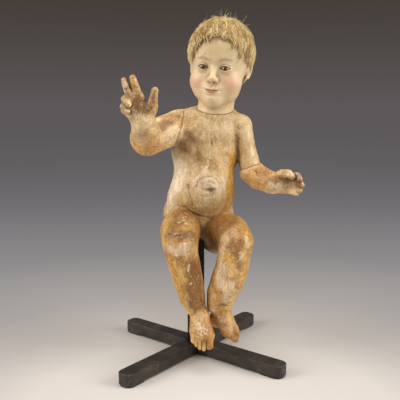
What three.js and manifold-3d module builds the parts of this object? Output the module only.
// A carved wooden child figure with a raised right hand, seated in the air on a post that rises from a low cross-shaped foot.
// Millimetres, +Z up. The figure faces -Y, its right hand is on the -X side, and the post stands on X = 0, Y = 0 before the
// whole is centred over the origin.
import * as THREE from "three";
import Module from "manifold-3d";

const wasm = await Module();
wasm.setup();

// Driving dimensions of the stand
const BAR_WIDTH = 27;
const BAR_THICKNESS = 18.5;
const PAD_THICKNESS = 2;
const PAD_LENGTH = 39;
const UPPER_BAR = { length: 333, shift: -4.5, turn: 52 }; // shift along the bar, turn in degrees from +X
const LOWER_BAR = { length: 320, shift: 8, turn: -38 };
const BAR_END_RADIUS = 9;
const EDGE_EASING = 1.2;
const POST_SIDE = 27;
const POST_TOP = 200;
const FIT_GAP = 0.35; // air between pieces that touch

// Driving dimensions of the figure
const HEAD_HEIGHT = 131; // chin to crown, without the hair
const HEAD_CENTRE = [38, 4, 468];
const HEAD_TILT = 5.5; // degrees, crown towards the figure's left
const HEAD_TURN = 12; // degrees, face towards the figure's right
const HAIR_THICKNESS = 4.5;
const EYE_RADIUS = 8.2;
const GROW_ALONG_NORMALS = 0.55; // keeps faces at least FIT_GAP apart where the surface bends
const HAIR_GLUE = 1.5; // between the scalp and the hair

// Fineness of the solids: sampling cell in millimetres and triangles kept
const DETAIL = {
  head: { cell: 1.7, triangles: 2280 },
  scalp: { cell: 3, triangles: 500 },
  hair: { cell: 2.8, triangles: 500 },
  torso: { cell: 3.4, triangles: 1250 },
  right_arm: { cell: 1.7, triangles: 1250 },
  left_forearm: { cell: 1.5, triangles: 950 },
  right_leg: { cell: 2.1, triangles: 760 },
  left_leg: { cell: 2.1, triangles: 760 },
};

const SAFE_SHARE = 0.45; // of a distance, over which the surface can't be met
const GRID_SHIFT = 0.11; // cells, from one try to the next
const SLIVER = 1e-3; // twice the area of a triangle too thin to judge, in square millimetres
const SHORTEST_EDGE = 0.15; // left by a cut

const degrees = THREE.MathUtils.degToRad;

// Distance functions: each shape is a function (x, y, z) => distance in millimetres, negative inside.

function ball([cx, cy, cz], radius) {
  return (x, y, z) => Math.hypot(x - cx, y - cy, z - cz) - radius;
}

function egg([cx, cy, cz], [rx, ry, rz]) {
  return (x, y, z) => {
    const px = (x - cx) / rx;
    const py = (y - cy) / ry;
    const pz = (z - cz) / rz;
    const inner = Math.hypot(px, py, pz);
    const outer = Math.hypot(px / rx, py / ry, pz / rz);
    return outer < 1e-9 ? -Math.min(rx, ry, rz) : (inner * (inner - 1)) / outer;
  };
}

// A rounded cone from a to b: the form of a bone with flesh on it.
function bone(a, b, radiusA, radiusB) {
  const axis = [b[0] - a[0], b[1] - a[1], b[2] - a[2]];
  const l2 = axis[0] ** 2 + axis[1] ** 2 + axis[2] ** 2;
  const taper = radiusA - radiusB;
  const a2 = l2 - taper * taper;
  return (x, y, z) => {
    const px = x - a[0];
    const py = y - a[1];
    const pz = z - a[2];
    const along = px * axis[0] + py * axis[1] + pz * axis[2];
    const rest = along - l2;
    const qx = px * l2 - axis[0] * along;
    const qy = py * l2 - axis[1] * along;
    const qz = pz * l2 - axis[2] * along;
    const x2 = qx * qx + qy * qy + qz * qz;
    const y2 = along * along * l2;
    const z2 = rest * rest * l2;
    const k = Math.sign(taper) * taper * taper * x2;
    if (Math.sign(rest) * a2 * z2 > k) return Math.sqrt(x2 + z2) / l2 - radiusB;
    if (Math.sign(along) * a2 * y2 < k) return Math.sqrt(x2 + y2) / l2 - radiusA;
    return (Math.sqrt((x2 * a2) / l2) + along * taper) / l2 - radiusA;
  };
}

// A chain of bones through the points, with one radius for each point.
function limb(points, radii) {
  const parts = points.slice(1).map((p, i) => bone(points[i], p, radii[i], radii[i + 1]));
  return (x, y, z) => Math.min(...parts.map((part) => part(x, y, z)));
}

function roundedBox([cx, cy, cz], [hx, hy, hz], radius) {
  return (x, y, z) => {
    const qx = Math.abs(x - cx) - hx + radius;
    const qy = Math.abs(y - cy) - hy + radius;
    const qz = Math.abs(z - cz) - hz + radius;
    const outside = Math.hypot(Math.max(qx, 0), Math.max(qy, 0), Math.max(qz, 0));
    return outside + Math.min(Math.max(qx, qy, qz), 0) - radius;
  };
}

function softMin(a, b, k) {
  const h = Math.max(k - Math.abs(a - b), 0) / k;
  return Math.min(a, b) - (h * h * k) / 4;
}

// Joins shapes with a fillet of about k.
function blend(k, ...shapes) {
  return (x, y, z) => shapes.reduce((d, shape) => softMin(d, shape(x, y, z), k), 1e3);
}

// Takes a shape out of another, with a rounded edge of about k.
function carve(k, base, ...tools) {
  return (x, y, z) =>
    tools.reduce((d, tool) => -softMin(-d, tool(x, y, z), k), base(x, y, z));
}

// The side of a plane that its normal points to. Each seam of the figure is such a plane.
function beyond({ point, normal }, margin = 0) {
  const [nx, ny, nz] = new THREE.Vector3(...normal).normalize().toArray();
  const offset = nx * point[0] + ny * point[1] + nz * point[2] - margin;
  return (x, y, z) => offset - (nx * x + ny * y + nz * z);
}

// A shape drawn in its own frame, placed by a matrix.
function placed(matrix, shape) {
  const m = matrix.clone().invert().elements;
  return (x, y, z) =>
    shape(
      m[0] * x + m[4] * y + m[8] * z + m[12],
      m[1] * x + m[5] * y + m[9] * z + m[13],
      m[2] * x + m[6] * y + m[10] * z + m[14],
    );
}

// The same shape at both sides of the plane x = 0.
function both(shape) {
  return (x, y, z) => shape(Math.abs(x), y, z);
}

// Seams where the figure is put together from separately carved pieces
const NECK_SEAM = { point: [28, 5, 397.5], normal: [0.055, -0.322, 0.945] };
const SHOULDER_SEAM = { point: [-29.5, 4, 366], normal: [-0.95, -0.2, 0.33] };
const ELBOW_SEAM = { point: [92, -4, 308], normal: [0.35, -0.15, -0.92] };

const headPlace = new THREE.Matrix4().compose(
  new THREE.Vector3(...HEAD_CENTRE),
  new THREE.Quaternion()
    .setFromEuler(new THREE.Euler(degrees(3), degrees(HEAD_TILT), degrees(-HEAD_TURN), "ZYX")),
  new THREE.Vector3(1, 1, 1),
);

// The head in its own frame: face towards -Y, centre halfway between chin and crown. All sizes are shares of its height.
const h = HEAD_HEIGHT / 131;
const EYE = [16.5 * h, -39.5 * h, -8 * h];

function skull() {
  return blend(
    14 * h,
    egg([0, 8, 17], [48, 57, 48.5]),
    egg([0, -14, 12], [40, 38, 35]),
    egg([0, -12, -22], [38, 35, 40]),
    egg([0, -34, -50], [16, 14, 15]),
  );
}

function softFace() {
  return blend(
    10,
    skull(),
    both(egg([21, -26, -30], [18, 18.5, 17.5])),
    egg([0, -38, -40], [14, 12.5, 13]),
    egg([0, -40, -55], [9.5, 9, 8.5]),
    both(egg([16, -14, -46], [20, 22, 15])),
  );
}

function nose() {
  return blend(
    4,
    bone([0, -46, -4], [0, -53, -21], 3.6, 4.3),
    ball([0, -54.8, -24], 4.8),
    both(egg([5.4, -51.2, -25.8], [3.4, 4.4, 3.4])),
    bone([0, -52.4, -27.6], [0, -50.4, -30.4], 2.2, 1.8),
  );
}

const bell = (value, width) => Math.exp(-((value / width) ** 2));
const rise = (value, low, high) => THREE.MathUtils.smoothstep(value, low, high);

// Height of the lips over the face: two bulges that meet in a line with slightly raised corners
const MOUTH_Z = -41;
const MOUTH_HALF = 10.5;

function lipHeight(x, z) {
  const u = Math.abs(x) / MOUTH_HALF;
  const inside = Math.max(1 - u * u, 0);
  const meet = MOUTH_Z + 0.9 * u * u - 0.4 * bell(x, 2.2);
  const upper = Math.max(3.1 * inside ** 0.7 - 0.8 * bell(x, 1.5), 0.3);
  const lower = Math.max(4 * inside ** 0.8, 0.3);
  const s = z > meet ? (z - meet) / upper : (meet - z) / lower;
  const bulge = Math.max(1 - s * s, 0) * inside ** 0.6;
  const groove = 2.2 * bell(z - meet, 1) * rise(1.15 - u, 0, 0.3);
  return (z > meet ? 2.2 : 2.8) * bulge - groove;
}

// The space between the lids, in front of a ball just under the eye's surface
const LID_HALF = 7.7;

function lidOpening(x, y, z) {
  const u = (Math.abs(x) - EYE[0]) / LID_HALF;
  const share = Math.max(1 - u * u, 0);
  const upper = EYE[2] + 3.3 * share ** 0.8 + 0.5 * u;
  const lower = EYE[2] - 3 * share + 0.5 * u;
  const slot = Math.max(z - upper, lower - z, (Math.abs(u) - 1) * LID_HALF, y - EYE[1]);
  return Math.max(slot, EYE_RADIUS - 0.5 - Math.hypot(Math.abs(x) - EYE[0], y - EYE[1], z - EYE[2]));
}

function ear() {
  const rim = limb(
    [[43.5, 0, -6], [46.5, 5, 0], [48, 11, 0], [48.8, 14, -6], [48, 12, -14], [45.5, 7, -22], [44, 3.5, -25]],
    [2.3, 2.4, 2.5, 2.5, 2.4, 3, 2.8],
  );
  return both(carve(2, blend(3, rim, egg([43.5, 7, -11], [4.5, 7.5, 11])), egg([48.8, 6.5, -10], [3.8, 4.4, 7])));
}

// The head with its sockets, lids, nose, lips and ears
function head() {
  const face = blend(
    3.5,
    carve(9, softFace(), both(egg([17, -57.5, -7], [12.5, 9.5, 8.5]))),
    both(ball(EYE, EYE_RADIUS + 1.4)),
    nose(),
    ear(),
  );
  return carve(
    0.9,
    (x, y, z) => face(x, y, z) - lipHeight(x, z) * rise(-y, 20, 32),
    lidOpening,
    both(egg([3.2, -53.6, -28.8], [1.5, 2.2, 1.8])),
  );
}

function neck() {
  return limb([[27, 9, 368], [31, 8, 396], [36, 8, 428]], [32, 28.5, 27]);
}

// The hair is a close cap over the skull: fringe in front, past the temples, over the ears and down to the nape.
function hairMass() {
  return carve(
    6,
    blend(
      10,
      egg([0, 8, 17], [48, 57, 48.5].map((r) => r + HAIR_THICKNESS)),
      egg([0, -14, 12], [40, 38, 35].map((r) => r + HAIR_THICKNESS)),
      egg([0, 20, -8], [43, 44, 36]),
    ),
    egg([12, -60, -14], [60, 58, 54]),
    roundedBox([0, -16, -58], [70, 34, 58], 10),
    roundedBox([0, 20, -92], [80, 80, 50], 10),
  );
}

// Trunk, with the neck's foot and the upper arm that is carved in one with it
const RIGHT_SHOULDER = [-31, 4, 368];
const RIGHT_ELBOW = [-72.5, -40, 353];
const RIGHT_WRIST = [-75, -84, 380];
const LEFT_SHOULDER = [70, 6, 370];
const LEFT_ELBOW = [87.5, -4, 300];
const LEFT_WRIST = [115, -38, 286.5];
const ELBOW_REACH = 50; // the cut at the elbow stops short of the flank

function trunk() {
  const upper = blend(
    18,
    egg([24, 6, 366], [49, 27, 27]),
    egg([15, 5, 331], [54, 33, 47]),
    egg([12, -2, 280], [49, 39, 44]),
    egg([7, -1, 257], [52, 35, 30]),
  );
  const seat = blend(
    10,
    egg([4, 8, 231], [56.5, 36, 43]),
    egg([-19, 14, 201], [32, 34, 34]),
    egg([34, 11, 200], [32, 34, 37]),
  );
  return blend(9, upper, seat);
}

function rightUpperArm() {
  return limb([[-18, 6, 366], RIGHT_SHOULDER, RIGHT_ELBOW], [24, 26, 25]);
}

// An arm a little deeper than wide: two limbs side by side in depth
function leftUpperArm() {
  const middle = LEFT_SHOULDER.map((v, i) => (v + LEFT_ELBOW[i]) / 2);
  const inDepth = (shift) =>
    limb(
      [LEFT_SHOULDER, middle, LEFT_ELBOW].map(([x, y, z]) => [x + (shift < 0 ? 1 : 0), y + shift, z]),
      [16.5, 14, 15.5],
    );
  return blend(6, inDepth(-4), inDepth(4));
}

// The slope from the neck to both shoulders
function shoulderSlopes() {
  return blend(
    4,
    limb([[16, 9, 390], [-22, 6, 378]], [17, 16.5]),
    limb([[46, 8, 384], [72, 6, 373]], [14, 14.5]),
  );
}

function body() {
  return blend(6, blend(10, trunk(), neck(), rightUpperArm(), shoulderSlopes()), leftUpperArm());
}

// Hands: each finger is a chain of bones that starts in the palm.
function rightHand() {
  const palm = blend(
    7,
    limb([RIGHT_WRIST, [-79, -94, 414]], [13, 7.5]),
    limb([RIGHT_WRIST, [-90, -94, 413]], [13, 7.5]),
    limb([[-77, -85, 383], [-94.5, -94, 406]], [11, 7.5]),
    limb([[-78, -85, 383], [-98, -92, 396.5]], [10, 7]),
    limb([[-71, -86, 384], [-61, -93, 401]], [12, 8]),
  );
  return blend(
    2.4,
    palm,
    limb([[-79, -95, 412], [-83.5, -97.5, 428], [-86.6, -99, 440]], [6.6, 5.7, 4.7]),
    limb([[-90, -95, 411], [-95.2, -97.5, 425], [-98.8, -99, 437]], [6.2, 5.2, 4.3]),
    limb([[-94.5, -95, 405], [-97.5, -101, 411], [-92.5, -107, 404]], [6.6, 5.8, 4.6]),
    limb([[-98, -93, 396], [-100.5, -98, 400.5], [-94.5, -104, 394.5]], [6, 5.2, 4.4]),
    limb([[-62, -92, 397], [-58.8, -97, 411], [-56.2, -100, 423]], [8, 6.2, 5]),
  );
}

function leftHand() {
  const palm = blend(
    7,
    limb([LEFT_WRIST, [142, -50, 295.5]], [13, 7]),
    limb([LEFT_WRIST, [145, -50, 288]], [13, 7]),
    limb([[117, -40, 284], [144, -49, 281]], [11, 7]),
    limb([[117, -40, 282], [140, -47, 277]], [10, 6.5]),
  );
  return blend(
    2.4,
    palm,
    limb([[142, -50, 295.5], [152, -57, 298], [154.5, -68, 295]], [6.4, 5.5, 4.5]),
    limb([[145, -50, 288], [155, -58, 288.5], [157.5, -69, 286.5]], [6.4, 5.5, 4.5]),
    limb([[144, -49, 281], [153.5, -57, 279.5], [155.5, -67, 278.5]], [6, 5.2, 4.3]),
    limb([[140, -47, 277], [148.5, -54, 274], [150.5, -63, 273.5]], [5.6, 4.8, 4]),
    limb([[120, -45, 293], [130, -52, 300.5], [138.5, -59, 302.5], [143, -65, 298]], [9, 7, 5.8, 4.8]),
  );
}

function rightForearm() {
  return limb([RIGHT_ELBOW, RIGHT_WRIST], [25, 16.5]);
}

function leftForearm() {
  return limb([LEFT_ELBOW, [100, -20, 291], LEFT_WRIST], [19, 19, 16]);
}

const RIGHT_TOES = [
  [20.6, -98, 48.5, 6],
  [12.4, -101, 45.8, 4.4],
  [6.2, -101, 47.4, 4.2],
  [1, -99, 50.4, 3.9],
  [-3.6, -96, 55, 3.6],
];

function rightLeg() {
  const ankle = [7, -71, 92];
  const leg = blend(
    8,
    limb(
      [[-22, 4, 212], [-23.5, -45, 210], [-22.5, -85, 204], [-19.5, -85, 182], [-15, -83, 163], [-10, -79, 141], [-5.5, -75, 118], [-0.5, -73, 101]],
      [31.5, 31, 26.6, 24, 23, 22, 19.8, 15.8],
    ),
    egg([-15, -75, 165], [19, 22, 34]),
  );
  const foot = blend(
    7,
    limb([ankle, [7, -60, 79]], [11.4, 12]),
    ...RIGHT_TOES.map(([x, y, z, r]) => bone([5.5 + x / 5, -76, 86], [x, y + 6, z + 14], 10.2, r + 2.4)),
  );
  return blend(
    2.5,
    leg,
    foot,
    ...RIGHT_TOES.map(([x, y, z, r]) => bone([x, y + 5, z + 12], [x, y, z], r + 0.7, r)),
  );
}

function leftLeg() {
  const ankle = [39, -62, 92];
  const heel = [34, -54, 73.5];
  const leg = blend(
    8,
    limb(
      [[40, 4, 207], [53, -45, 207], [60, -85, 203.5], [57.5, -83, 184], [54, -79, 164], [47.5, -75, 141], [40.5, -70, 120], [36, -66, 103]],
      [30, 30, 25.6, 24.6, 24.2, 25, 23.4, 19.2],
    ),
    egg([57, -71, 165], [20, 22, 34]),
  );
  const along = new THREE.Vector3(0.72, -0.47, -0.51).normalize();
  const across = new THREE.Vector3(0.466, 0.874, -0.12).normalize();
  const toes = [[-9.5, 5.8], [-1.5, 4.4], [4, 4.1], [8.5, 3.8], [12.5, 3.5]];
  const at = (forward, side) =>
    new THREE.Vector3(...heel).addScaledVector(along, forward).addScaledVector(across, side).toArray();
  const foot = blend(
    7,
    limb([ankle, heel], [13, 13]),
    ...toes.map(([side, r]) => bone([40.5, -63, 84], at(26, side * 0.95), 12, r + 3.4)),
  );
  return blend(
    2.5,
    leg,
    foot,
    ...toes.map(([side, r], i) => bone(at(28, side), at(42 - i * 1.5, side), r + 0.7, r)),
  );
}

// One of the 256 ways that the surface can pass through a cell, as patches. A patch is a list of crossed edges, and an
// edge is named by its lower corner and its axis. A corner's bits are its places along X, Y and Z.
function patchesOf(signs) {
  const inside = (corner) => (signs >> corner) & 1;
  const crossed = (a, b) => inside(a) !== inside(b);
  const edgeOf = (a, b) => 3 * Math.min(a, b) + AXIS_BITS.indexOf(a ^ b);
  const patch = new Map();
  for (let a = 0; a < 8; a++)
    for (const bit of AXIS_BITS)
      if (!(a & bit) && crossed(a, a | bit)) patch.set(edgeOf(a, a | bit), [edgeOf(a, a | bit)]);
  const join = (e, f) => {
    const [kept, moved] = [patch.get(e), patch.get(f)];
    if (kept === moved) return;
    kept.push(...moved);
    moved.forEach((edge) => patch.set(edge, kept));
  };
  for (const across of AXIS_BITS)
    for (const base of [0, across]) {
      const [u, v] = AXIS_BITS.filter((bit) => bit !== across);
      const ring = [base, base | u, base | u | v, base | v];
      const sides = ring.map((corner, i) => [corner, ring[(i + 1) % 4]]);
      const cut = sides.filter(([a, b]) => crossed(a, b)).map(([a, b]) => edgeOf(a, b));
      if (cut.length === 2) join(...cut);
      if (cut.length === 4)
        ring.forEach((corner, i) => inside(corner) && join(edgeOf(...sides[i]), edgeOf(...sides[(i + 3) % 4])));
    }
  return [...new Set(patch.values())];
}

const AXIS_BITS = [1, 2, 4];
const PATCHES = Array.from({ length: 256 }, (_, signs) => patchesOf(signs));

// A closed mesh of the surface: one vertex for each patch in a cell, one quad round each crossed edge of the grid
function polygonize(shape, box, cell) {
  const size = box.getSize(new THREE.Vector3());
  const [nx, ny, nz] = size.toArray().map((length) => Math.ceil(length / cell) + 2);
  const values = new Float32Array(nx * ny * nz);
  const steps = [1, nx, nx * ny];
  const indexOf = (i, j, k) => i + steps[1] * j + steps[2] * k;
  for (let k = 0; k < nz; k++)
    for (let j = 0; j < ny; j++)
      for (let i = 0; i < nx; ) {
        const d = shape(box.min.x + i * cell, box.min.y + j * cell, box.min.z + k * cell);
        const alike = Math.max(1, Math.floor((SAFE_SHARE * Math.abs(d)) / cell));
        for (const end = Math.min(i + alike, nx); i < end; i++) values[indexOf(i, j, k)] = d;
      }
  const cornerStep = Array.from({ length: 8 }, (_, corner) => indexOf(corner & 1, (corner >> 1) & 1, corner >> 2));
  const vertexOf = new Map();
  const points = [];
  for (let k = 0; k < nz - 1; k++)
    for (let j = 0; j < ny - 1; j++)
      for (let i = 0; i < nx - 1; i++) {
        const origin = indexOf(i, j, k);
        const signs = cornerStep.reduce((bits, step, corner) => bits | ((values[origin + step] < 0) << corner), 0);
        for (const patch of PATCHES[signs]) {
          const sum = [0, 0, 0];
          for (const edge of patch) {
            const [corner, axis] = [Math.floor(edge / 3), edge % 3];
            const a = values[origin + cornerStep[corner]];
            const b = values[origin + cornerStep[corner] + steps[axis]];
            for (let n = 0; n < 3; n++) sum[n] += ((corner >> n) & 1) + (n === axis ? a / (a - b) : 0);
            vertexOf.set(24 * origin + edge, points.length / 3);
          }
          points.push(
            box.min.x + (i + sum[0] / patch.length) * cell,
            box.min.y + (j + sum[1] / patch.length) * cell,
            box.min.z + (k + sum[2] / patch.length) * cell,
          );
        }
      }
  const triangles = [];
  for (let k = 1; k < nz - 1; k++)
    for (let j = 1; j < ny - 1; j++)
      for (let i = 1; i < nx - 1; i++)
        for (let axis = 0; axis < 3; axis++) {
          const origin = indexOf(i, j, k);
          const here = values[origin] < 0;
          if (here === values[origin + steps[axis]] < 0) continue;
          const [u, v] = [(axis + 1) % 3, (axis + 2) % 3];
          const round = [0, AXIS_BITS[u], AXIS_BITS[u] | AXIS_BITS[v], AXIS_BITS[v]];
          const quad = round.map((corner) => vertexOf.get(24 * (origin - cornerStep[corner]) + 3 * corner + axis));
          if (!here) quad.reverse();
          triangles.push([quad[0], quad[1], quad[2]], [quad[0], quad[2], quad[3]]);
        }
  return { points, triangles };
}

// Moves every vertex onto the surface along the gradient.
function settle({ points }, shape, cell) {
  const step = cell * 0.05;
  for (let round = 0; round < 2; round++)
    for (let i = 0; i < points.length; i += 3) {
      const [x, y, z] = points.slice(i, i + 3);
      const d = shape(x, y, z);
      const g = [
        shape(x + step, y, z) - shape(x - step, y, z),
        shape(x, y + step, z) - shape(x, y - step, z),
        shape(x, y, z + step) - shape(x, y, z - step),
      ].map((v) => v / (2 * step));
      const g2 = Math.max(g[0] ** 2 + g[1] ** 2 + g[2] ** 2, 0.25);
      const move = THREE.MathUtils.clamp(d / g2, -cell / 2, cell / 2);
      for (let n = 0; n < 3; n++) points[i + n] -= move * g[n];
    }
}

// Quadric edge collapse down to a number of triangles, over edges no longer than a limit. It keeps the mesh closed,
// because an edge collapses only where its ends share exactly two neighbours and no face turns over.
function simplify({ points, triangles }, target, longest = Infinity) {
  const vertices = [];
  for (let i = 0; i < points.length; i += 3)
    vertices.push({ p: new THREE.Vector3(points[i], points[i + 1], points[i + 2]), q: new Float64Array(10), faces: new Set(), version: 0 });
  const normalOf = (a, b, c) => new THREE.Vector3().crossVectors(b.clone().sub(a), c.clone().sub(a));
  const faces = triangles.map((corners) => {
    const face = { corners: [...corners] };
    const [a, b, c] = corners.map((v) => vertices[v]);
    const n = normalOf(a.p, b.p, c.p);
    const area = n.length() / 2;
    n.normalize();
    const plane = [n.x, n.y, n.z, -n.dot(a.p)];
    let slot = 0;
    for (let i = 0; i < 4; i++)
      for (let j = i; j < 4; j++, slot++) for (const v of [a, b, c]) v.q[slot] += plane[i] * plane[j] * area;
    for (const v of [a, b, c]) v.faces.add(face);
    return face;
  });
  const neighbours = (v) => {
    const found = new Set();
    for (const face of vertices[v].faces) for (const c of face.corners) if (c !== v) found.add(c);
    return found;
  };
  const costAt = (q, p) =>
    q[0] * p.x * p.x + 2 * q[1] * p.x * p.y + 2 * q[2] * p.x * p.z + 2 * q[3] * p.x +
    q[4] * p.y * p.y + 2 * q[5] * p.y * p.z + 2 * q[6] * p.y +
    q[7] * p.z * p.z + 2 * q[8] * p.z + q[9];
  // A binary heap with the cheapest collapse on top
  const heap = [];
  const push = (item) => {
    let i = heap.push(item) - 1;
    for (let up = (i - 1) >> 1; i > 0 && heap[up].cost > heap[i].cost; i = up, up = (i - 1) >> 1)
      [heap[up], heap[i]] = [heap[i], heap[up]];
  };
  const pop = () => {
    const top = heap[0];
    const last = heap.pop();
    if (heap.length) {
      heap[0] = last;
      for (let i = 0; ; ) {
        const [l, r] = [2 * i + 1, 2 * i + 2];
        let least = i;
        if (l < heap.length && heap[l].cost < heap[least].cost) least = l;
        if (r < heap.length && heap[r].cost < heap[least].cost) least = r;
        if (least === i) break;
        [heap[i], heap[least]] = [heap[least], heap[i]];
        i = least;
      }
    }
    return top;
  };
  const consider = (a, b) => {
    const q = vertices[a].q.map((value, i) => value + vertices[b].q[i]);
    const middle = vertices[a].p.clone().lerp(vertices[b].p, 0.5);
    const length = vertices[a].p.distanceTo(vertices[b].p);
    if (length > longest) return;
    const options = [middle, vertices[a].p.clone(), vertices[b].p.clone()];
    const m = new THREE.Matrix3().set(q[0], q[1], q[2], q[1], q[4], q[5], q[2], q[5], q[7]);
    if (Math.abs(m.determinant()) > 1e-7) {
      const best = new THREE.Vector3(-q[3], -q[6], -q[8]).applyMatrix3(m.invert());
      if (best.distanceTo(middle) < length) options.push(best);
    }
    const cost = options.map((p) => costAt(q, p) + 1e-4 * length * length);
    const best = cost.indexOf(Math.min(...cost));
    push({ a, b, p: options[best], cost: cost[best], va: vertices[a].version, vb: vertices[b].version });
  };
  vertices.forEach((_, v) => neighbours(v).forEach((n) => n > v && consider(v, n)));
  const turnsOver = (v, other, p) => {
    for (const { corners } of vertices[v].faces) {
      if (corners.includes(other)) continue;
      const old = corners.map((c) => vertices[c].p);
      const moved = corners.map((c) => (c === v ? p : vertices[c].p));
      const before = normalOf(...old);
      const after = normalOf(...moved);
      if (before.length() < SLIVER) continue;
      if (before.dot(after) < 0.3 * before.length() * after.length() || after.length() < SLIVER / 10) return true;
    }
    return false;
  };
  let left = faces.length;
  while (left > target && heap.length) {
    const { a, b, p, va, vb } = pop();
    if (vertices[a].version !== va || vertices[b].version !== vb) continue;
    const near = neighbours(b);
    if ([...neighbours(a)].filter((v) => near.has(v)).length !== 2) continue;
    if (turnsOver(a, b, p) || turnsOver(b, a, p)) continue;
    for (const face of [...vertices[b].faces]) {
      if (face.corners.includes(a)) {
        face.corners.forEach((c) => vertices[c].faces.delete(face));
        face.gone = true;
        left--;
      } else {
        face.corners[face.corners.indexOf(b)] = a;
        vertices[a].faces.add(face);
      }
    }
    vertices[b].version = -1;
    vertices[b].faces.clear();
    vertices[a].p = p;
    vertices[a].q = vertices[a].q.map((value, i) => value + vertices[b].q[i]);
    vertices[a].version++;
    for (const n of neighbours(a)) consider(a, n);
  }
  const kept = faces.filter((face) => !face.gone);
  const order = new Map();
  const position = [];
  for (const face of kept)
    for (const corner of face.corners)
      if (!order.has(corner)) {
        order.set(corner, order.size);
        position.push(...vertices[corner].p.toArray());
      }
  return { position, index: kept.flatMap((face) => face.corners.map((corner) => order.get(corner))) };
}

function hasForkedEdge({ triangles }) {
  const faces = new Map();
  for (const [a, b, c] of triangles)
    for (const [u, v] of [[a, b], [b, c], [c, a]]) {
      const key = Math.min(u, v) * triangles.length + Math.max(u, v);
      faces.set(key, (faces.get(key) ?? 0) + 1);
    }
  return [...faces.values()].some((count) => count !== 2);
}

// A solid of the modelled form, as far as its box reaches. The grid moves a little until no edge has four faces.
function solidOf(shape, box, { cell, triangles }) {
  for (let shift = 0; shift < 1; shift += GRID_SHIFT) {
    const moved = box.clone().translate(new THREE.Vector3(shift, shift / 2, -shift).multiplyScalar(cell));
    const net = polygonize(shape, moved, cell);
    if (hasForkedEdge(net)) continue;
    settle(net, shape, cell);
    return simplify(net, triangles);
  }
  throw new Error("no grid gives a simple surface");
}

function toManifold({ position, index }) {
  return new wasm.Manifold(
    new wasm.Mesh({
      numProp: 3,
      vertProperties: new Float32Array(position),
      triVerts: new Uint32Array(index),
    }),
  );
}

function fromManifold(solid) {
  const { numProp, vertProperties, triVerts } = solid.getMesh();
  const position = [];
  for (let i = 0; i < vertProperties.length; i += numProp) position.push(...vertProperties.subarray(i, i + 3));
  return { position, index: [...triVerts] };
}

// The shortest edges that a cut leaves are closed up.
function withoutSlivers(solid) {
  const { position, index } = fromManifold(solid);
  const triangles = [];
  for (let i = 0; i < index.length; i += 3) triangles.push(index.slice(i, i + 3));
  return simplify({ points: position, triangles }, 0, SHORTEST_EDGE);
}

function geometryOf({ position, index }) {
  const geometry = new THREE.BufferGeometry();
  geometry.setAttribute("position", new THREE.Float32BufferAttribute(position, 3));
  geometry.setIndex(index);
  geometry.computeVertexNormals();
  return geometry;
}

function fromGeometry(geometry) {
  const order = new Map();
  const position = [];
  const source = geometry.index ? geometry.toNonIndexed() : geometry;
  const points = source.getAttribute("position");
  const index = [];
  for (let i = 0; i < points.count; i++) {
    const p = [points.getX(i), points.getY(i), points.getZ(i)];
    const key = p.map((v) => Math.round(v * 1e4)).join();
    if (!order.has(key)) {
      order.set(key, order.size);
      position.push(...p);
    }
    index.push(order.get(key));
  }
  const kept = [];
  for (let i = 0; i < index.length; i += 3) {
    const [a, b, c] = index.slice(i, i + 3);
    if (a !== b && b !== c && c !== a) kept.push(a, b, c);
  }
  return { position, index: kept };
}

// The same mesh with every vertex moved outwards, to cut a neighbour back by a small gap.
function grown(mesh, distance) {
  const normals = geometryOf(mesh).getAttribute("normal").array;
  return { position: mesh.position.map((v, i) => v + normals[i] * distance), index: mesh.index };
}

// A box that holds one side of a seam and half the gap. Its reach tells how far from the seam's point it cuts.
function farSide({ point, normal }, side, reach = 600) {
  const toward = new THREE.Vector3(...normal).normalize().multiplyScalar(side);
  const box = new THREE.BoxGeometry(reach, reach, reach);
  box.translate(0, 0, (reach - FIT_GAP) / 2);
  box.applyQuaternion(new THREE.Quaternion().setFromUnitVectors(new THREE.Vector3(0, 0, 1), toward));
  box.translate(...point);
  return toManifold(fromGeometry(box));
}

function largest(solid) {
  return solid.decompose().reduce((a, b) => (a.volume() > b.volume() ? a : b));
}

const boxOf = (x0, y0, z0, x1, y1, z1) =>
  new THREE.Box3(new THREE.Vector3(x0, y0, z0), new THREE.Vector3(x1, y1, z1));

// Stand

// The outline of a bar with rounded corners, centred on the origin and lying along X
function barOutline(length, width) {
  const [x, y, r] = [length / 2, width / 2, BAR_END_RADIUS];
  const outline = new THREE.Shape();
  outline.moveTo(-x + r, -y);
  outline.lineTo(x - r, -y);
  outline.absarc(x - r, -y + r, r, -Math.PI / 2, 0);
  outline.absarc(x - r, y - r, r, 0, Math.PI / 2);
  outline.lineTo(-x + r, y);
  outline.absarc(-x + r, y - r, r, Math.PI / 2, Math.PI);
  outline.absarc(-x + r, -y + r, r, Math.PI, 1.5 * Math.PI);
  return outline;
}

function bar(length) {
  const geometry = new THREE.ExtrudeGeometry(barOutline(length - 2 * EDGE_EASING, BAR_WIDTH - 2 * EDGE_EASING), {
    depth: BAR_THICKNESS - 2 * EDGE_EASING,
    bevelThickness: EDGE_EASING,
    bevelSize: EDGE_EASING,
    bevelSegments: 1,
    curveSegments: 3,
  });
  geometry.translate(0, 0, PAD_THICKNESS + EDGE_EASING);
  return geometry;
}

// Each bar loses half its thickness at the crossing.
function lappedBar({ length, shift, turn }, keepsTop) {
  const notch = new THREE.BoxGeometry(BAR_WIDTH + 2 * FIT_GAP, 2 * BAR_WIDTH, BAR_THICKNESS);
  const middle = PAD_THICKNESS + BAR_THICKNESS / 2;
  notch.translate(0, 0, middle + (BAR_THICKNESS / 2 - FIT_GAP / 2) * (keepsTop ? -1 : 1));
  const whole = bar(length).translate(shift, 0, 0);
  const solid = toManifold(fromGeometry(whole)).subtract(toManifold(fromGeometry(notch)));
  return geometryOf(fromManifold(solid)).rotateZ(degrees(turn));
}

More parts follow.
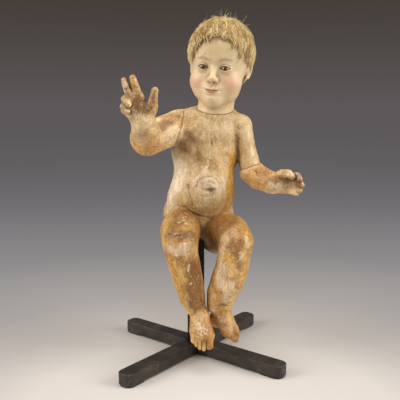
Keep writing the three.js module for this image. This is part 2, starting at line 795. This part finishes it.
function pad({ length, shift, turn }, end) {
  const geometry = new THREE.ExtrudeGeometry(barOutline(PAD_LENGTH, BAR_WIDTH - 2 * EDGE_EASING), {
    depth: PAD_THICKNESS - FIT_GAP,
    bevelEnabled: false,
    curveSegments: 1,
  });
  geometry.translate(shift + end * (length / 2 - PAD_LENGTH / 2 - EDGE_EASING), 0, 0);
  return geometry.rotateZ(degrees(turn));
}

const barTop = PAD_THICKNESS + BAR_THICKNESS;
const postGeometry = new THREE.BoxGeometry(POST_SIDE, POST_SIDE, POST_TOP - barTop - FIT_GAP);
postGeometry.translate(0, 0, (POST_TOP + barTop + FIT_GAP) / 2);

// Figure

const opposite = ({ point, normal }) => ({ point, normal: normal.map((v) => -v) });

const headSolid = solidOf(
  (x, y, z) => Math.max(blend(8, placed(headPlace, head()), neck())(x, y, z), beyond(NECK_SEAM, 4)(x, y, z)),
  boxOf(-32, -78, 372, 108, 92, 546),
  DETAIL.head,
);

const scalpSolid = solidOf(
  (x, y, z) => blend(8, placed(headPlace, blend(3, skull(), ear())), neck())(x, y, z),
  boxOf(-32, -78, 330, 108, 92, 546),
  DETAIL.scalp,
);

const eyeSolid = (side, radius) => {
  const eye = new THREE.SphereGeometry(radius, 12, 8);
  eye.rotateX(Math.PI / 2);
  eye.translate(side * EYE[0], EYE[1], EYE[2]);
  return eye.applyMatrix4(headPlace);
};

const figure = {};
figure.head = [-1, 1].reduce(
  (solid, side) => solid.subtract(toManifold(fromGeometry(eyeSolid(side, EYE_RADIUS + FIT_GAP)))),
  toManifold(headSolid).subtract(farSide(NECK_SEAM, -1)),
);
figure.hair = largest(
  toManifold(solidOf(placed(headPlace, hairMass()), boxOf(-40, -78, 400, 118, 92, 552), DETAIL.hair))
    .subtract(toManifold(grown(scalpSolid, HAIR_GLUE)))
    .subtract(toManifold(grown(headSolid, FIT_GAP))),
);

figure.torso = toManifold(
  solidOf(
    (x, y, z) =>
      Math.max(
        body()(x, y, z),
        beyond(opposite(NECK_SEAM), 4)(x, y, z),
        beyond(opposite(SHOULDER_SEAM), 4)(x, y, z),
      ),
    boxOf(-64, -60, 152, 124, 66, 424),
    DETAIL.torso,
  ),
)
  .subtract(farSide(NECK_SEAM, 1))
  .subtract(farSide(SHOULDER_SEAM, 1))
  .subtract(farSide(ELBOW_SEAM, 1, ELBOW_REACH));

figure.right_arm = toManifold(
  solidOf(
    (x, y, z) =>
      Math.max(blend(5, body(), rightForearm(), rightHand())(x, y, z), beyond(SHOULDER_SEAM, 4)(x, y, z)),
    boxOf(-118, -120, 320, -16, 40, 452),
    DETAIL.right_arm,
  ),
).subtract(farSide(SHOULDER_SEAM, -1));

figure.left_forearm = toManifold(
  solidOf(
    (x, y, z) => Math.max(blend(5, leftUpperArm(), leftForearm(), leftHand())(x, y, z), beyond(ELBOW_SEAM, 4)(x, y, z)),
    boxOf(60, -80, 258, 168, 32, 332),
    DETAIL.left_forearm,
  ),
).subtract(farSide(ELBOW_SEAM, -1));

// The thighs are fitted against the trunk, so each is cut back by its surface.
const trunkCut = toManifold(grown(fromManifold(figure.torso), GROW_ALONG_NORMALS));
figure.right_leg = largest(
  toManifold(solidOf(rightLeg(), boxOf(-66, -124, 34, 34, 46, 256), DETAIL.right_leg)).subtract(trunkCut),
);
figure.left_leg = largest(
  toManifold(solidOf(leftLeg(), boxOf(6, -124, 34, 98, 46, 256), DETAIL.left_leg)).subtract(trunkCut),
);

// The post is let into the underside of the trunk, just behind the thighs.
const socket = new THREE.BoxGeometry(POST_SIDE + 2 * FIT_GAP, POST_SIDE + 2 * FIT_GAP, 2 * POST_TOP);
socket.translate(0, 0, FIT_GAP);
for (const name of ["torso", "right_leg", "left_leg"])
  figure[name] = figure[name].subtract(toManifold(fromGeometry(socket)));

// Colours

const palette = {
  paleFlesh: { color: 0xd9c39a, roughness: 0.6, metalness: 0 },
  wornFlesh: { color: 0xc9a06a, roughness: 0.6, metalness: 0 },
  hair: { color: 0xcdb37c, roughness: 0.85, metalness: 0 },
  glass: { color: 0x2a2018, roughness: 0.1, metalness: 0 },
  blackWood: { color: 0x2b2622, roughness: 0.5, metalness: 0 },
  felt: { color: 0x1c1a18, roughness: 0.9, metalness: 0 },
};

const object = new THREE.Group();

function add(name, geometry, finish) {
  const mesh = new THREE.Mesh(geometry, new THREE.MeshStandardMaterial(palette[finish]));
  mesh.name = name;
  object.add(mesh);
  return mesh;
}

const finishes = {
  head: "paleFlesh",
  hair: "hair",
  torso: "paleFlesh",
  right_arm: "wornFlesh",
  left_forearm: "wornFlesh",
  right_leg: "wornFlesh",
  left_leg: "wornFlesh",
};
for (const [name, solid] of Object.entries(figure)) add(name, geometryOf(withoutSlivers(solid)), finishes[name]);
add("glass_eye_right", eyeSolid(-1, EYE_RADIUS), "glass");
add("glass_eye_left", eyeSolid(1, EYE_RADIUS), "glass");

add("cross_bar_upper", lappedBar(UPPER_BAR, true), "blackWood");
add("cross_bar_lower", lappedBar(LOWER_BAR, false), "blackWood");
add("post", postGeometry, "blackWood");
add("foot_pad_front_left", pad(UPPER_BAR, -1), "felt");
add("foot_pad_back_right", pad(UPPER_BAR, 1), "felt");
add("foot_pad_back_left", pad(LOWER_BAR, -1), "felt");
add("foot_pad_front_right", pad(LOWER_BAR, 1), "felt");

// The whole stands centred over the origin.
const middle = new THREE.Box3().setFromObject(object).getCenter(new THREE.Vector3());
object.children.forEach((mesh) => mesh.position.set(-middle.x, -middle.y, 0));

export default object;
